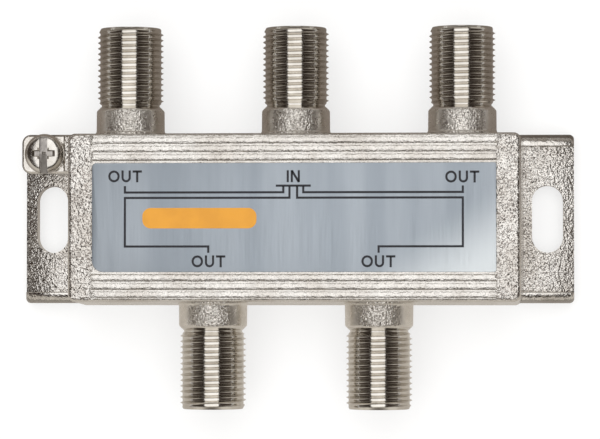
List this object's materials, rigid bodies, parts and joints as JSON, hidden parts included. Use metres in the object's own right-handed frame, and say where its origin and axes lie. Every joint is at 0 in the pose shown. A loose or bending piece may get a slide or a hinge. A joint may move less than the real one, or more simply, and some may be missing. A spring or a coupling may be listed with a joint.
{
  "type": "coaxial splitter",
  "caption": "Coaxial cable splitter: die-cast body with threaded ports on both long sides, slotted mounting ears, a foil nameplate and a ground screw.",
  "frame": {"origin": "on the back plane, under the middle of the body", "axes": "+X along the body towards the ear without the ground screw, +Y towards the input port, +Z out of the front face"},
  "size_m": [0.0794, 0.0544, 0.0155],
  "materials": {
    "nickel_plated_casting": "satin",
    "foil_label": "satin",
    "tinned_sheet": "satin",
    "board_laminate": "satin",
    "insulator_plastic": "satin",
    "tinned_brass": "satin",
    "ferrite": "matte",
    "enamelled_wire": "gloss",
    "chip_body": "satin",
    "chip_ceramic": "satin",
    "nickel_plated_steel": "gloss"
  },
  "bodies": {
    "splitter": {"housing": "nickel_plated_casting", "label": "foil_label", "back_cover": "tinned_sheet", "circuit_board": "board_laminate", "output_1_insulator": "insulator_plastic", "input_insulator": "insulator_plastic", "output_2_insulator": "insulator_plastic", "output_3_insulator": "insulator_plastic", "output_4_insulator": "insulator_plastic", "output_1_contact": "tinned_brass", "input_contact": "tinned_brass", "output_2_contact": "tinned_brass", "output_3_contact": "tinned_brass", "output_4_contact": "tinned_brass", "matching_core": "ferrite", "first_divider_core": "ferrite", "left_divider_core": "ferrite", "right_divider_core": "ferrite", "matching_winding": "enamelled_wire", "first_divider_winding": "enamelled_wire", "left_divider_winding": "enamelled_wire", "right_divider_winding": "enamelled_wire", "balance_resistors": "chip_body", "blocking_capacitors": "chip_ceramic"},
    "captive_washer": {"ground_washer": "nickel_plated_steel"},
    "terminal_screw": {"ground_screw": "nickel_plated_steel"}
  },
  "joints": [
    {"name": "ground_screw_travel", "type": "slide", "parent": "splitter", "child": "captive_washer", "axis": [0, 0, 1], "range_m": [0, 0.0025]},
    {"name": "ground_screw_turn", "type": "hinge", "parent": "captive_washer", "child": "terminal_screw", "pos_m": [-0.0363, 0.00935, 0.0075], "axis": [0, 0, 1], "range_deg": [0, 1800]}
  ],
  "couplings": [
    {"joint": "ground_screw_turn", "follows": "ground_screw_travel", "rad_per_m": 12566}
  ]
}
